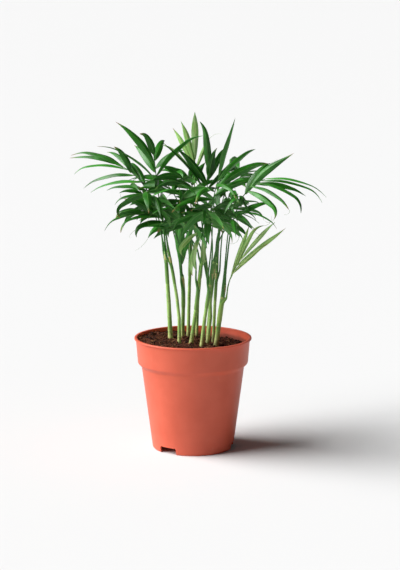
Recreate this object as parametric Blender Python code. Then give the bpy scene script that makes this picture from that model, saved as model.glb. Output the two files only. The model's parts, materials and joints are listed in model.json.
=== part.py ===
"""A parlour palm in a plastic nursery pot, in metres, +Z up.

The origin is on the pot's axis, on the surface that the pot stands on. The front is -Y.
Eleven seedlings share the pot. Each is a stem with a few fronds, and each frond is one leaf:
a petiole, the rachis that continues it, and the leaflets that grow from the rachis.
Every size is a named value here at the top, and the places of the plants follow the sizes.
"""

import math
import random
from collections import namedtuple

import bmesh
import bpy
from mathutils import Matrix, Vector, noise
from mathutils.bvhtree import BVHTree
from mathutils.geometry import interpolate_bezier

MM = 0.001
UP = Vector((0.0, 0.0, 1.0))
MERGE = 1e-6
SHARP_ANGLE = 50

# The pot: a rolled lip, a collar that tapers a little, a step, and a tapering body. Its base
# plate is raised, and notches in the foot ring let water out from under it.
POT_HEIGHT = 0.115
RIM_DIAMETER = 0.120
FOOT_DIAMETER = 0.083
WALL = 0.0012
LIP_HEIGHT = 0.0026
LIP_REACH = 0.0018
COLLAR_HEIGHT = 0.026
COLLAR_TAPER = 0.0020
STEP_HEIGHT = 0.004
STEP_DEPTH = 0.0036
FOOT_ROUNDING = 0.0012
PLATE_CLEAR = 0.0078
PLATE_THICKNESS = 0.0014
NOTCH_COUNT = 3
NOTCH_WIDTH = 0.0200
NOTCH_BELOW_PLATE = 0.0010
NOTCH_BEARING = 82.0
DRAIN_DIAMETER = 0.009
DRAIN_CIRCLE = 0.054
DRAIN_SIDES = 20
POT_SIDES = 72

# The soil: lumps of two sizes on top, which slopes down to one side.
SOIL_BELOW_RIM = 0.006
SOIL_CLEARANCE = 0.0004
SOIL_LUMP_HEIGHT = 0.0016
SOIL_LUMP_SIZE = 0.011
SOIL_CRUMB_HEIGHT = 0.0008
SOIL_CRUMB_SIZE = 0.0048
SOIL_SLOPE = 0.05
SOIL_SLOPE_WAY = Vector((0.8, 0.6, 0.0))
SOIL_SIDES = 40
SOIL_RINGS = 6
SOCKET_CLEARANCE = 0.0005

# The stems, and the petiole and rachis of each frond
ROOT_DEPTH = 0.018
STEM_SIDES = 8
STEM_RINGS = 7
FOOT_GAP = 0.0005
PETIOLE_RADIUS = 0.0011
PETIOLE_RINGS = 5
PETIOLE_RISE = 0.4  # how far it keeps to the stem's way, as a share of its length
PETIOLE_LEAN = 0.35  # how far it keeps to the rachis's way
RACHIS_END_RADIUS = 0.0005
RACHIS_TAPER = 1.5
RACHIS_ARCH = 0.5

# The leaflets: thin chevrons, which arch up and fall to a long point
LEAFLET_THICKNESS = 0.0009
LEAFLET_FOLD = 0.22
LEAFLET_SECTIONS = ((0.36, 1.0), (0.74, 0.72))  # where along it, and what share of its width
LEAFLET_BEND = 0.45
LEAFLET_RISE = 2.0
LEAFLET_LIFT = 0.15
LEAFLET_GAP = 0.0004
POINT_SHARE = 0.02

# Leaflets that are spread along a rachis: degrees from it, lengths along a half wave, and how
# much each leaflet varies
FIRST_SPREAD = 62
LAST_SPREAD = 26
SPREAD_VARIES = 6
FIRST_LENGTH = 0.28
LAST_LENGTH = 0.70
DROOP_VARIES = 0.3
TWIST_VARIES = 28
SPREAD_ARCH = 0.18

# How a frond's line, or a leaflet, may swing to keep clear of other pieces
LINE_SWING = 0.03
SWING_SIZES = (0.06, 0.12, 0.2, 0.3, 0.42, 0.55, 0.7)
SWING_WAYS = 8
SHORTENINGS = (1.0, 0.85, 0.7, 0.55, 0.42, 0.3, 0.2, 0.12)
NARROW_BELOW = 0.42
OWN_START = 0.12

# The corners of a petiole's square cross section that are on each side of it
RIGHT_CORNERS = (0, 3)
LEFT_CORNERS = (1, 2)

Finish = namedtuple("Finish", "name colour roughness")
TERRACOTTA = Finish("terracotta plastic", (0.62, 0.13, 0.07, 1.0), 0.4)
POTTING_SOIL = Finish("potting soil", (0.045, 0.020, 0.010, 1.0), 0.95)
STEM_GREEN = Finish("stem green", (0.23, 0.36, 0.10, 1.0), 0.45)
LEAF_GREEN = Finish("leaf green", (0.035, 0.14, 0.025, 1.0), 0.35)
YOUNG_GREEN = Finish("young leaf green", (0.20, 0.37, 0.10, 1.0), 0.4)


def soil_level():
    return POT_HEIGHT - SOIL_BELOW_RIM


# Places on the plants are in millimetres: x, y, and the height above the soil.
Stem = namedtuple("Stem", "base_radius top_radius course")
STEMS = {
    "palm_01": Stem(2.6, 1.7, ((-23, 12, 0), (-25, 13, 42), (-26, 14, 57), (-28, 16, 92))),
    "palm_02": Stem(1.9, 1.4, ((-14, -8, 0), (-14, -7, 27), (-18, -3, 59), (-25, 1, 96))),
    "palm_03": Stem(2.2, 1.6, ((-11, 26, 0), (-10, 18, 32), (-10, 12, 57), (-11, 9, 68))),
    "palm_04": Stem(1.9, 1.5, ((-5, 34, 0), (-4, 30, 44), (-3, 26, 74), (-2, 24, 102))),
    "palm_05": Stem(2.2, 1.6, ((-2, -8, 0), (2, -9, 28), (6, -10, 61), (8, -11, 84))),
    "palm_06": Stem(1.7, 1.3, ((4, 40, 0), (5, 38, 35), (8, 36, 66), (10, 35, 96))),
    "palm_07": Stem(2.1, 1.5, ((9, -18, 0), (12, -20, 29), (17, -22, 61), (21, -24, 88))),
    "palm_08": Stem(2.1, 1.5, ((15, 3, 0), (18, 4, 26), (17, 6, 49), (13, 8, 84))),
    "palm_09": Stem(1.8, 1.4, ((21, 19, 0), (22, 18, 24), (23, 17, 45), (25, 15, 80))),
    "palm_10": Stem(2.7, 1.9, ((24, -3, 0), (28, -6, 33), (31, -8, 54), (32, -9, 62))),
    "palm_11": Stem(1.9, 1.4, ((15, 31, 0), (18, 31, 36), (21, 31, 62), (24, 31, 84))),
}

# A frond grows from its stem at the height "foot", or from the stem's top where foot is None.
# The rachis runs from "throat" to "end". "width" is a leaflet's width, "face" is where its
# upper side looks, and "arch" is how far it bends up, as a share of its length. "tips" gives
# each leaflet's tip and its twist in degrees, from the throat to the end. Where "tips" is
# None, "count" leaflets up to the length "reach" are spread evenly and fall by "droop".
Frond = namedtuple("Frond", "foot throat end width face arch tips count reach droop young")


def placed(foot, throat, end, width, face, arch, tips, young=False):
    return Frond(foot, throat, end, width, face, arch, tips, len(tips), 0, 0, young)


def spread(foot, throat, end, count=9, reach=52, droop=0.7, width=8.2):
    return Frond(foot, throat, end, width, None, SPREAD_ARCH, None, count, reach, droop, False)


FRONDS = {
    "palm_01": (
        placed(None, (-37, 28, 162), (-40, 31, 190), 7.8, (0.1, -0.8, 0.6), 0.14, (
            (-97, 20, 203, 70), (11, 6, 216, 85), (-62, 60, 198, 0), (-8, 30, 196, -20),
            (-79, 34, 224, 0), (-30, 54, 205, 0), (-52, 28, 215, 0),
        )),
        placed(84, (-46, 38, 150), (-79, 66, 176), 7.4, (0.0, -0.5, 0.9), 0.16, (
            (-90, 44, 152, 0), (-70, 92, 178, 0), (-108, 60, 148, 10), (-92, 96, 188, 0),
            (-116, 68, 152, 10), (-81, 54, 197, -10), (-127, 78, 168, 25), (-128, 92, 186, 10),
            (-130, 84, 180, 0),
        )),
    ),
    "palm_02": (
        spread(None, (-30, -16, 138), (-46, -40, 160), droop=0.8),
        spread(84, (-40, 6, 134), (-55, 14, 156), count=8, reach=42),
    ),
    "palm_03": (
        placed(None, (-11.5, 7, 76), (-11.5, 3, 92), 5.6, (-0.2, -0.9, 0.2), 0.03, (
            (-22, -4, 124, 0), (-3, 3, 122, 0), (-17, 5, 134, 0), (-6, -4, 131, 0),
            (-12, 0, 136, 0),
        )),
        placed(56, (-18, -12, 118), (-47, -30, 138), 7.6, (-0.1, -0.4, 0.9), 0.20, (
            (-60, -14, 119, 0), (-42, -62, 150, 0), (-62, -44, 120, 10), (-55, -6, 155, -20),
            (-78, -46, 126, 10), (-69, -26, 152, -30), (-91, -44, 128, 40), (-79, -34, 135, 0),
        )),
        spread(60, (-26, 16, 136), (-36, 6, 166), droop=0.9),
    ),
    "palm_04": (
        placed(None, (2, 38, 168), (2, 42, 184), 5.4, (0.0, -0.9, 0.4), 0.04, (
            (-30, 42, 202, 0), (16, 52, 204, 0), (-18, 50, 217, 0), (-9, 46, 224, 0),
            (2, 42, 233, 0),
        ), True),
        spread(88, (-16, 44, 140), (-34, 62, 162), droop=0.5),
        spread(92, (-2, 12, 140), (-14, -10, 176), droop=0.9),
    ),
    "palm_05": (
        placed(None, (20, -20, 148), (26, -30, 175), 8.0, (0.0, -0.5, 0.9), 0.18, (
            (-22, -58, 144, -10), (64, -16, 172, 50), (2, -84, 158, 0), (77, -2, 186, 50),
            (44, -62, 158, 20), (64, 4, 200, 75), (43, -26, 232, 70),
        )),
        placed(66, (10, -24, 112), (5, -31, 118), 5.4, (0.1, 0.9, 0.3), 0.16, (
            (10, -32, 84, 0), (-5, -33, 75, 0), (1, -38, 80, 0), (-16, -44, 98, 0),
        ), True),
        spread(60, (-4, -20, 120), (-16, -34, 144), reach=42, droop=0.9),
    ),
    "palm_06": (
        spread(None, (4, 52, 140), (-6, 64, 164), droop=0.5),
        spread(78, (-12, 52, 112), (-30, 64, 128), count=8, reach=46),
        spread(86, (24, 30, 148), (38, 32, 182)),
    ),
    "palm_07": (
        placed(None, (37, -32, 128), (52, -42, 140), 7.2, (0.0, -0.3, 1.0), 0.18, (
            (42, -95, 124, 0), (62, -8, 140, 0), (60, -78, 126, 0), (79, -34, 149, 30),
            (84, -66, 128, 0),
        )),
        spread(70, (18, -46, 126), (12, -62, 146), reach=48, droop=0.9),
        spread(60, (24, -32, 126), (22, -50, 148), reach=42, droop=0.9),
    ),
    "palm_08": (
        placed(None, (14, 10, 150), (16, 10, 176), 7.8, (0.1, -0.9, 0.4), 0.08, (
            (-32, 6, 206, 85), (50, 16, 190, 60), (-18, 22, 196, 0), (34, 24, 200, 30),
            (23, 12, 200, 0), (11, 10, 227, 0),
        )),
        spread(68, (-6, -26, 140), (-14, -46, 166), droop=0.9),
    ),
    "palm_09": (
        spread(None, (34, 16, 142), (48, 14, 168), reach=46),
        spread(64, (33, 9, 126), (42, 4, 148), count=8, reach=40),
    ),
    "palm_10": (
        placed(None, (49, -28, 152), (72, -48, 174), 7.8, (0.1, -0.4, 0.9), 0.16, (
            (48, -52, 150, -30), (77, -14, 188, 30), (88, -62, 138, 10), (101, -38, 197, 30),
            (95, -76, 148, 10), (112, -50, 158, 0), (113, -72, 148, 0), (131, -62, 157, 0),
            (132, -70, 161, 0),
        )),
        placed(46, (37, -11, 66), (48, -15, 88), 5.6, (-0.3, -0.9, 0.3), 0.03, (
            (58, -2, 122, 0), (74, -28, 108, 0), (67, -10, 129, 0), (94, -28, 122, 0),
            (82, -20, 128, 0),
        ), True),
        spread(54, (40, -26, 134), (47, -44, 156), count=8, reach=40, droop=0.8),
    ),
    "palm_11": (
        spread(None, (32, 44, 146), (46, 60, 168), reach=48, droop=0.5),
        spread(66, (28, 42, 114), (42, 58, 132), count=8, reach=44),
    ),
}


def metres(place):
    """A place given in millimetres, with its height above the soil, as a point in metres."""
    x, y, height = place
    return Vector((x * MM, y * MM, soil_level() + height * MM))


def new_object(name, bm, material, origin=Vector(), parent=None):
    """An object whose mesh is drawn about its origin, placed from its parent's origin."""
    bmesh.ops.translate(bm, vec=-origin, verts=bm.verts)
    mesh = bpy.data.meshes.new(name)
    bm.to_mesh(mesh)
    bm.free()
    mesh.materials.append(material)
    part = bpy.data.objects.new(name, mesh)
    bpy.context.scene.collection.objects.link(part)
    part.parent = parent
    part.location = origin - world_origin(parent)
    return part


def world_origin(part):
    """Where a part's origin is in the world. Nothing that has children is turned."""
    origin = Vector()
    while part:
        origin += part.location
        part = part.parent
    return origin


def new_material(finish):
    material = bpy.data.materials.new(finish.name)
    material.use_nodes = True
    shader = material.node_tree.nodes["Principled BSDF"]
    shader.inputs["Base Color"].default_value = finish.colour
    shader.inputs["Roughness"].default_value = finish.roughness
    shader.inputs["Metallic"].default_value = 0.0
    material.diffuse_color = finish.colour
    return material


def shade_round(part):
    """Smooth shading, with the creases left sharp."""
    part.data.shade_smooth()
    part.data.set_sharp_from_angle(angle=math.radians(SHARP_ANGLE))


def cut(part, cutter, name):
    """Subtracts a helper object, which stays in the scene as a wireframe."""
    cutter.display_type = "WIRE"
    cutter.hide_render = True
    modifier = part.modifiers.new(name, "BOOLEAN")
    modifier.operation = "DIFFERENCE"
    modifier.solver = "EXACT"
    modifier.object = cutter


def turned(outline, sides):
    """A closed solid of revolution about Z. The outline runs from one point on the axis to another."""
    bm = bmesh.new()
    corners = [bm.verts.new((radius, 0.0, height)) for radius, height in outline]
    edges = [bm.edges.new(pair) for pair in zip(corners, corners[1:])]
    bmesh.ops.spin(
        bm, geom=corners + edges, cent=(0, 0, 0), axis=(0, 0, 1),
        angle=math.tau, steps=sides, use_merge=True,
    )
    bmesh.ops.remove_doubles(bm, verts=bm.verts, dist=MERGE)
    bmesh.ops.recalc_face_normals(bm, faces=bm.faces)
    return bm


# The pot


def pot_outer():
    """The outside of the pot as (radius, height), from the lip down to the foot."""
    collar_top = RIM_DIAMETER / 2 - LIP_REACH
    collar_low = collar_top - COLLAR_TAPER
    body_top = collar_low - STEP_DEPTH
    step_top = POT_HEIGHT - COLLAR_HEIGHT
    foot = FOOT_DIAMETER / 2
    return (
        (RIM_DIAMETER / 2 - LIP_HEIGHT / 4, POT_HEIGHT),
        (RIM_DIAMETER / 2, POT_HEIGHT - LIP_HEIGHT / 3),
        (RIM_DIAMETER / 2, POT_HEIGHT - 2 * LIP_HEIGHT / 3),
        (collar_top, POT_HEIGHT - LIP_HEIGHT),
        (collar_low, step_top),
        (body_top, step_top - STEP_HEIGHT),
        (foot, FOOT_ROUNDING),
        (foot - FOOT_ROUNDING / 2, 0.0),
    )


def outer_radius(height):
    """The radius of the body's outside below the step, which tapers evenly to the foot."""
    _, (top, high), (low, bottom), _ = pot_outer()[4:]
    return low + (top - low) * (height - bottom) / (high - bottom)


def inner_outline():
    """The inside of the pot above the base plate as (radius, height), from the plate up to the lip."""
    lip, _, _, collar_top, collar_low, body_top, _, _ = pot_outer()
    plate = PLATE_CLEAR + PLATE_THICKNESS
    return (
        (outer_radius(plate) - WALL, plate),
        (body_top[0] - WALL, body_top[1] + WALL / 2),
        (collar_low[0] - WALL, collar_low[1] + WALL / 2),
        (collar_top[0] - WALL, collar_top[1]),
        (lip[0] - WALL, lip[1]),
    )


def notch_ways():
    """The directions of the notches in the foot ring, each with its angle about Z."""
    for index in range(NOTCH_COUNT):
        bearing = math.radians(NOTCH_BEARING + 360 * index / NOTCH_COUNT - 90)
        yield Vector((math.cos(bearing), math.sin(bearing), 0.0)), bearing


def cut_notches(pot):
    """The water's ways out through the foot ring, which stop just below the base plate."""
    size = (FOOT_DIAMETER / 4, NOTCH_WIDTH, 2 * (PLATE_CLEAR - NOTCH_BELOW_PLATE))
    for index, (outward, bearing) in enumerate(notch_ways()):
        bm = bmesh.new()
        bmesh.ops.create_cube(bm, size=1.0)
        bmesh.ops.scale(bm, vec=size, verts=bm.verts)
        notch = new_object(f"notch_cutter_{index + 1}", bm, pot.data.materials[0])
        notch.location = outward * (FOOT_DIAMETER / 2)
        notch.rotation_euler.z = bearing
        cut(pot, notch, f"notch {index + 1}")


def cut_drains(pot):
    """Drain holes through the base plate: one in the middle and one towards each notch."""
    centres = [Vector(), *(outward * (DRAIN_CIRCLE / 2) for outward, _ in notch_ways())]
    for index, centre in enumerate(centres):
        bm = bmesh.new()
        bmesh.ops.create_cone(
            bm, cap_ends=True, segments=DRAIN_SIDES, radius1=DRAIN_DIAMETER / 2,
            radius2=DRAIN_DIAMETER / 2, depth=4 * PLATE_THICKNESS,
        )
        drain = new_object(f"drain_cutter_{index + 1}", bm, pot.data.materials[0])
        drain.location = centre + UP * (PLATE_CLEAR + PLATE_THICKNESS / 2)
        cut(pot, drain, f"drain {index + 1}")


def make_pot():
    plate = PLATE_CLEAR + PLATE_THICKNESS
    under_plate = (
        (FOOT_DIAMETER / 2 - WALL - FOOT_ROUNDING / 2, 0.0),
        (outer_radius(PLATE_CLEAR) - WALL, PLATE_CLEAR),
        (0.0, PLATE_CLEAR),
    )
    outline = ((0.0, plate), *inner_outline(), *pot_outer(), *under_plate)
    pot = new_object("pot", turned(outline, POT_SIDES), new_material(TERRACOTTA))
    shade_round(pot)
    cut_notches(pot)
    cut_drains(pot)
    return pot


# Tubes: the stems, and the petiole and rachis of each frond


def smooth_course(corners, count):
    """Evenly numbered points along a smooth curve through the corners."""
    line = []
    last = len(corners) - 1
    for index in range(last):
        before = corners[max(index - 1, 0)]
        start = corners[index]
        stop = corners[index + 1]
        after = corners[min(index + 2, last)]
        line += interpolate_bezier(
            start, start + (stop - before) / 6, stop - (after - start) / 6, stop, count
        )[:-1]
    line.append(corners[-1])
    steps = len(line) - 1
    return [line[round(steps * share / (count - 1))] for share in range(count)]


def tube_ring(centre, along, side, radius, sides, turn=0.0):
    """The points of one cross section of a tube."""
    normal = side.cross(along).normalized()
    across = along.cross(normal).normalized()
    ring = []
    for index in range(sides):
        angle = turn + math.tau * index / sides
        ring.append(centre + (across * math.cos(angle) + normal * math.sin(angle)) * radius)
    return ring


def tangents(line):
    """The direction of the line at each of its points."""
    last = len(line) - 1
    return [(line[min(i + 1, last)] - line[max(i - 1, 0)]).normalized() for i in range(last + 1)]


def skin(rings):
    """The faces of a closed tube over rings of the same number of points."""
    sides = len(rings[0])
    faces = [tuple(reversed(range(sides)))]
    for lower in range(0, sides * (len(rings) - 1), sides):
        for index in range(sides):
            after = (index + 1) % sides
            faces.append((lower + index, lower + after, lower + sides + after, lower + sides + index))
    faces.append(tuple(range(sides * (len(rings) - 1), sides * len(rings))))
    return faces


class Space:
    """The space that pieces already take up, which later pieces keep clear of."""

    def __init__(self):
        self.taken = []

    def add(self, owner, rings):
        self.taken.append((owner, *search_tree(rings)))

    def without(self, owner):
        """The same space, without what one owner takes up."""
        rest = Space()
        rest.taken = [piece for piece in self.taken if piece[0] != owner]
        return rest

    def is_free(self, rings):
        """Whether the closed shape over the rings is clear of every piece."""
        low, high, tree = search_tree(rings)
        for _, other_low, other_high, other in self.taken:
            apart = any(
                low[axis] > other_high[axis] or high[axis] < other_low[axis] for axis in range(3)
            )
            if not apart and tree.overlap(other):
                return False
        return True


def search_tree(rings):
    """The lowest and highest corners of the closed shape over the rings, and a tree of its faces."""
    points = [point for ring in rings for point in ring]
    low = [min(point[axis] for point in points) for axis in range(3)]
    high = [max(point[axis] for point in points) for axis in range(3)]
    return low, high, BVHTree.FromPolygons(points, skin(rings))


def stem_course(stem):
    """The stem's line from its root end to its top."""
    above = [metres(place) for place in stem.course]
    down = (above[0] - above[1]).normalized()
    return smooth_course([above[0] + down * ROOT_DEPTH, *above], STEM_RINGS)


def stem_radius(stem, share):
    """The stem's radius at a share of its length: it tapers evenly from the root end to the top."""
    return (stem.base_radius + (stem.top_radius - stem.base_radius) * share) * MM


def stem_rings(stem, extra=0.0):
    """The stem's cross sections."""
    line = stem_course(stem)
    rings = []
    for index, (centre, along) in enumerate(zip(line, tangents(line))):
        radius = stem_radius(stem, index / (len(line) - 1)) + extra
        rings.append(tube_ring(centre, along, Vector((0.0, 1.0, 0.0)), radius, STEM_SIDES))
    return rings


def tube_mesh(rings):
    """A closed tube, grown from its first cross section by extruding its cap."""
    bm = bmesh.new()
    cap = bm.faces.new([bm.verts.new(point) for point in rings[0]])
    start = bmesh.ops.extrude_face_region(bm, geom=[cap], use_keep_orig=True)
    cap = [item for item in start["geom"] if isinstance(item, bmesh.types.BMFace)][0]
    for ring in rings[1:]:
        for vert, point in zip(cap.verts, ring):
            vert.co = point
        if ring is not rings[-1]:
            cap = bmesh.ops.extrude_discrete_faces(bm, faces=[cap])["faces"][0]
    bmesh.ops.recalc_face_normals(bm, faces=bm.faces)
    return bm


def soil_lump(place):
    """How far the top of the soil is above its level at a place."""
    coarse = SOIL_LUMP_HEIGHT * noise.noise(place / SOIL_LUMP_SIZE)
    fine = SOIL_CRUMB_HEIGHT * noise.noise(place / SOIL_CRUMB_SIZE)
    return coarse + fine - SOIL_SLOPE * place.dot(SOIL_SLOPE_WAY)


def make_soil(pot):
    """The root ball: it follows the inside of the pot, with a lumpy top and a socket for each stem."""
    inside = [(radius - SOIL_CLEARANCE, height) for radius, height in inner_outline()]
    level = soil_level()
    (low_radius, low), (high_radius, high) = inside[2:4]
    rim = low_radius + (high_radius - low_radius) * (level - low) / (high - low)
    floor = inside[0][1] + SOIL_CLEARANCE
    outline = [(0.0, floor), (inside[0][0], floor), *inside[1:3]]
    outline += [(rim * (1 - index / SOIL_RINGS), level) for index in range(SOIL_RINGS + 1)]
    bm = turned(outline, SOIL_SIDES)
    for vert in bm.verts:
        if vert.co.z > level - MERGE and vert.co.xy.length < rim - SOIL_CLEARANCE:
            vert.co.z += soil_lump(vert.co)
    material = new_material(POTTING_SOIL)
    soil = new_object("soil", bm, material, UP * floor, pot)
    for name, stem in STEMS.items():
        rings = stem_rings(stem, SOCKET_CLEARANCE)
        rings[0] = [point - UP * SOCKET_CLEARANCE for point in rings[0]]
        cut(soil, new_object(f"{name}_socket_cutter", tube_mesh(rings), material), f"{name} socket")
    return soil


# Fronds


def frond_line(frond, stem, shift=Vector()):
    """The frond's centre line, from the foot of its petiole to the end of its rachis."""
    course = stem_course(stem)
    throat = metres(frond.throat) + shift
    end = metres(frond.end) + shift
    if frond.foot is None:
        grown = (course[-1] - course[-2]).normalized()
        foot = course[-1] + grown * FOOT_GAP
    else:
        height = soil_level() + frond.foot * MM
        index = max(i for i, point in enumerate(course[:-1]) if point.z <= height)
        start, stop = course[index], course[index + 1]
        grown = (stop - start).normalized()
        part = (height - start.z) / (stop.z - start.z)
        beside = start.lerp(stop, part)
        outward = throat - beside
        outward = (outward - grown * outward.dot(grown)).normalized()
        radius = stem_radius(stem, (index + part) / (len(course) - 1))
        foot = beside + outward * (radius + PETIOLE_RADIUS * math.sqrt(2) + FOOT_GAP)
    rise = (throat - foot).length
    leaning = ((end - throat).normalized() + (throat - foot).normalized()).normalized()
    petiole = interpolate_bezier(
        foot, foot + grown * rise * PETIOLE_RISE, throat - leaning * rise * PETIOLE_LEAN,
        throat, PETIOLE_RINGS,
    )
    bend = throat + leaning * (end - throat).length * RACHIS_ARCH
    shares = [(index + 1) / frond.count for index in range(frond.count)]
    return petiole + [on_arch(throat, bend, end, share) for share in shares]


def on_arch(start, bend, stop, share):
    """The point at a share of the way along the arch from start to stop that bend pulls at."""
    return start * (1 - share) ** 2 + bend * 2 * share * (1 - share) + stop * share ** 2


def frond_side(line):
    """The level direction across the frond, square to the way it leans out."""
    outward = line[-1] - line[0]
    outward.z = 0.0
    return outward.cross(UP).normalized()


def spine_rings(line, extra=0.0):
    """The cross sections of the petiole and the rachis: squares that narrow towards the end."""
    side = frond_side(line)
    rings = []
    for index, (centre, along) in enumerate(zip(line, tangents(line))):
        share = (index / (len(line) - 1)) ** RACHIS_TAPER
        radius = PETIOLE_RADIUS + (RACHIS_END_RADIUS - PETIOLE_RADIUS) * share + extra
        rings.append(tube_ring(centre, along, side, radius * math.sqrt(2), 4, math.pi / 4))
    return rings


def free_line(name, frond, stem, space):
    """The frond's centre line, moved across a little where it would pass through another piece."""
    for sideways, upward in swings():
        shift = Vector((sideways, upward, 0.0)) * LINE_SWING
        line = frond_line(frond, stem, shift)
        if space.is_free(spine_rings(line, LEAFLET_GAP)):
            return line
    raise ValueError(f"{name} has no free way past the other stems")


def leaflet_goals(name, frond, line):
    """Each leaflet's tip and the way its upper side faces, from the throat to the end."""
    side = frond_side(line)
    draw = random.Random(name)
    goals = []
    ways = list(zip(line, tangents(line)))[PETIOLE_RINGS - 1:-1]
    for index, (root, along) in enumerate(ways):
        normal = side.cross(along)
        if frond.tips:
            *place, twist = frond.tips[index]
            tip = metres(place)
            turn = Matrix.Rotation(math.radians(twist), 3, (tip - root).normalized())
            goals.append((tip, turn @ Vector(frond.face)))
            continue
        share = index / (frond.count - 1)
        hand = 1 if index % 2 else -1
        angle = FIRST_SPREAD + (LAST_SPREAD - FIRST_SPREAD) * share
        angle = math.radians(angle + draw.uniform(-SPREAD_VARIES, SPREAD_VARIES))
        way = along * math.cos(angle) + side * hand * math.sin(angle) + normal * LEAFLET_LIFT
        wave = FIRST_LENGTH + (LAST_LENGTH - FIRST_LENGTH) * share
        length = frond.reach * MM * math.sin(math.pi * wave)
        fall = UP * frond.droop * draw.uniform(1 - DROOP_VARIES, 1 + DROOP_VARIES)
        twist = math.radians(draw.uniform(-TWIST_VARIES, TWIST_VARIES))
        turn = Matrix.Rotation(twist, 3, way)
        goals.append((root + (way.normalized() - fall) * length, turn @ normal))
    return goals


def side_faces(spine, line, goals):
    """The four corners of the rachis that each leaflet grows from. The last one grows from its end."""
    side = frond_side(line)
    corners = []
    for index, (tip, _) in enumerate(goals[:-1]):
        near = spine[PETIOLE_RINGS - 1 + index]
        far = spine[PETIOLE_RINGS + index]
        left, right = LEFT_CORNERS, RIGHT_CORNERS
        hand = right if (tip - near[0]).dot(side) > 0 else left
        corners.append([near[hand[0]], far[hand[0]], far[hand[1]], near[hand[1]]])
    return [*corners, spine[-1]]


def leaflet_rings(width, arch, root, tip, face, extra=0.0):
    """A leaflet's cross sections, each a thin chevron with its ridge on the upper side."""
    reach = tip - root
    bulge = face + UP * LEAFLET_RISE
    bulge = (bulge - reach * bulge.dot(reach) / reach.length_squared).normalized()
    bend = root + reach * LEAFLET_BEND + bulge * arch * reach.length
    rings = []
    for share, wide in LEAFLET_SECTIONS:
        centre = on_arch(root, bend, tip, share)
        along = ((bend - root) * (1 - share) + (tip - bend) * share).normalized()
        across = along.cross(face).normalized()
        normal = across.cross(along)
        half = width * MM * wide / 2
        ridge = centre + normal * half * LEAFLET_FOLD
        thick = normal * (LEAFLET_THICKNESS / 2 + extra)
        edge = across * (half + extra)
        rings.append([ridge + thick, centre + edge, ridge - thick, centre - edge])
    return rings


def matched(ring, corners):
    """The ring's points in the order that twists them least against the corners below them."""
    here = sum(corners, Vector()) / 4
    there = sum(ring, Vector()) / 4
    turns = [ring[turn:] + ring[:turn] for turn in range(4)]
    return max(turns, key=lambda order: sum(
        (corner - here).normalized().dot((point - there).normalized())
        for corner, point in zip(corners, order)
    ))


def leaflet_shape(corners, rings, tip, start):
    """The leaflet as closed cross sections, from a share "start" of its first stretch to near its tip."""
    first = matched(rings[0], corners)
    ordered = [first]
    for ring in rings[1:]:
        ordered.append(matched(ring, ordered[-1]))
    root = [corner.lerp(point, start) for corner, point in zip(corners, first)]
    return [root, *ordered, [tip.lerp(point, POINT_SHARE) for point in ordered[-1]]]


def swings():
    """Sideways and upward shifts, nearest first, in directions all round the first place."""
    yield 0.0, 0.0
    for size in SWING_SIZES:
        for step in range(SWING_WAYS):
            angle = math.tau * step / SWING_WAYS
            yield size * math.cos(angle), size * math.sin(angle)


def free_leaflet(frond, corners, tip, face, others, own):
    """The tip's place and the leaflet's width, once it is clear of other pieces.

    It is swung, or shortened, until it is. A leaflet that is held very short is narrower too.
    """
    root = sum(corners, Vector()) / 4
    across = (tip - root).cross(face).normalized()
    lift = across.cross(tip - root).normalized()
    for share in SHORTENINGS:
        length = (tip - root).length * share
        width = frond.width * min(1.0, share / NARROW_BELOW)
        for sideways, upward in swings():
            way = (tip - root).normalized() + across * sideways + lift * upward
            goal = root + way.normalized() * length
            fat = leaflet_rings(width, frond.arch, root, goal, face, LEAFLET_GAP)
            slim = leaflet_rings(width, frond.arch, root, goal, face)
            own_free = own.is_free(leaflet_shape(corners, slim, goal, OWN_START))
            if own_free and others.is_free(leaflet_shape(corners, fat, goal, 0.0)):
                return goal, width
    raise ValueError(f"no room for the leaflet to {tip}")


def grow_leaflet(bm, face, rings, tip):
    """Extrudes a face of the rachis through the leaflet's cross sections, and draws it to a point."""
    for ring in rings:
        corners = [vert.co.copy() for vert in face.verts]
        face = bmesh.ops.extrude_discrete_faces(bm, faces=[face])["faces"][0]
        for vert, point in zip(face.verts, matched(ring, corners)):
            vert.co = point
    point = bmesh.ops.poke(bm, faces=[face])["verts"][0]
    point.co = tip


def make_frond(name, frond, line, space, stem, material):
    """A frond as one solid. Its leaflets are grown from the end back to the throat."""
    spine = spine_rings(line)
    bm = tube_mesh(spine)
    goals = leaflet_goals(name, frond, line)
    faces = [nearest_face(bm, corners) for corners in side_faces(spine, line, goals)]
    others = space.without(name)
    own = Space()
    for face, (tip, upper) in reversed(list(zip(faces, goals))):
        corners = [vert.co.copy() for vert in face.verts]
        root = sum(corners, Vector()) / 4
        goal, width = free_leaflet(frond, corners, tip, upper, others, own)
        rings = leaflet_rings(width, frond.arch, root, goal, upper)
        own.add(name, leaflet_shape(corners, rings, goal, OWN_START))
        space.add(name, leaflet_shape(corners, rings, goal, 0.0))
        grow_leaflet(bm, face, rings, goal)
    return new_object(name, bm, material, line[0], stem)


def nearest_face(bm, corners):
    """The face of the tube whose middle is at the middle of the corners."""
    middle = sum(corners, Vector()) / 4
    return min(bm.faces, key=lambda face: (face.calc_center_median() - middle).length)


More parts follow.
